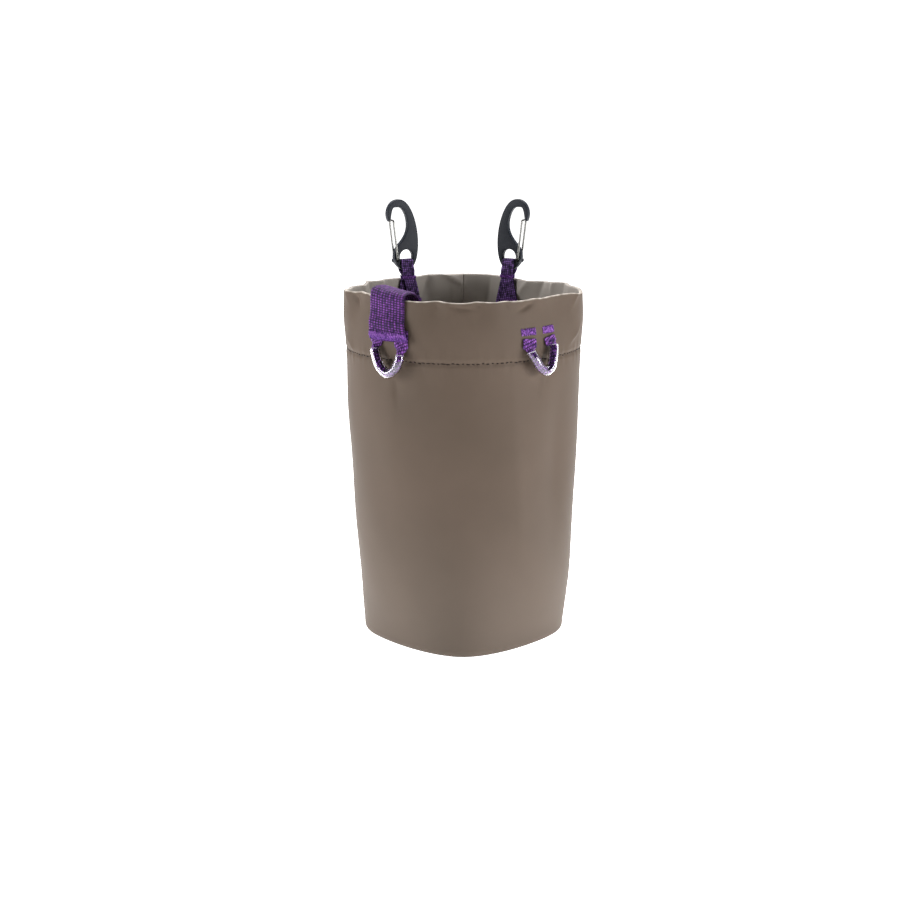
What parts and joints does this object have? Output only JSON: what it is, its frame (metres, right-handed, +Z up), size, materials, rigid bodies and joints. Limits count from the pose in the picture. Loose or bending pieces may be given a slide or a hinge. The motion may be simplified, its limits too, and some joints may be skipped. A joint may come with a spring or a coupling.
{
  "type": "climbing gear bucket bag",
  "caption": "Open-topped bucket bag of coated fabric with webbing tabs, wire-gate hooks at the back of its mouth, a webbing strap over the rim and tool loops in clear tube.",
  "frame": {"origin": "middle of the base panel's underside, on the surface that the bag stands on", "axes": "+Z up, -Y towards the front, where the tool loops are, +X to the right seen from the front"},
  "size_m": [0.1658, 0.165, 0.3003],
  "materials": {
    "coated_fabric": "taupe coated polyester, smooth with a satin sheen and soft creases",
    "purple_webbing": "woven purple polyester webbing, matt, ribbed across",
    "clear_tube": "clear flexible tube, glossy and see-through",
    "hook_plastic": "moulded dark grey nylon, satin",
    "gate_wire": "bright drawn steel wire"
  },
  "bodies": {
    "bag": {"bag_wall": "coated_fabric", "bag_base": "coated_fabric", "rim_strap": "purple_webbing", "tool_loop_left": "purple_webbing", "loop_sleeve_left": "clear_tube", "tool_loop_right": "purple_webbing", "loop_sleeve_right": "clear_tube", "hook_left": "hook_plastic", "hook_strap_left": "purple_webbing", "hook_right": "hook_plastic", "hook_strap_right": "purple_webbing"},
    "gate_left": {"gate_left": "gate_wire"},
    "gate_right": {"gate_right": "gate_wire"}
  },
  "joints": [
    {"name": "gate_left_hinge", "type": "hinge", "parent": "bag", "child": "gate_left", "pos_m": [-0.04777, 0.05644, 0.2573], "axis": [-0.5, 0.866, 0], "range_deg": [0, 20], "stiffness_Nm_per_rad": 0.05, "springref_deg": -28.65},
    {"name": "gate_right_hinge", "type": "hinge", "parent": "bag", "child": "gate_right", "pos_m": [0.04031, 0.05869, 0.2573], "axis": [-0.5, -0.866, 0], "range_deg": [0, 20], "stiffness_Nm_per_rad": 0.05, "springref_deg": -28.65}
  ]
}
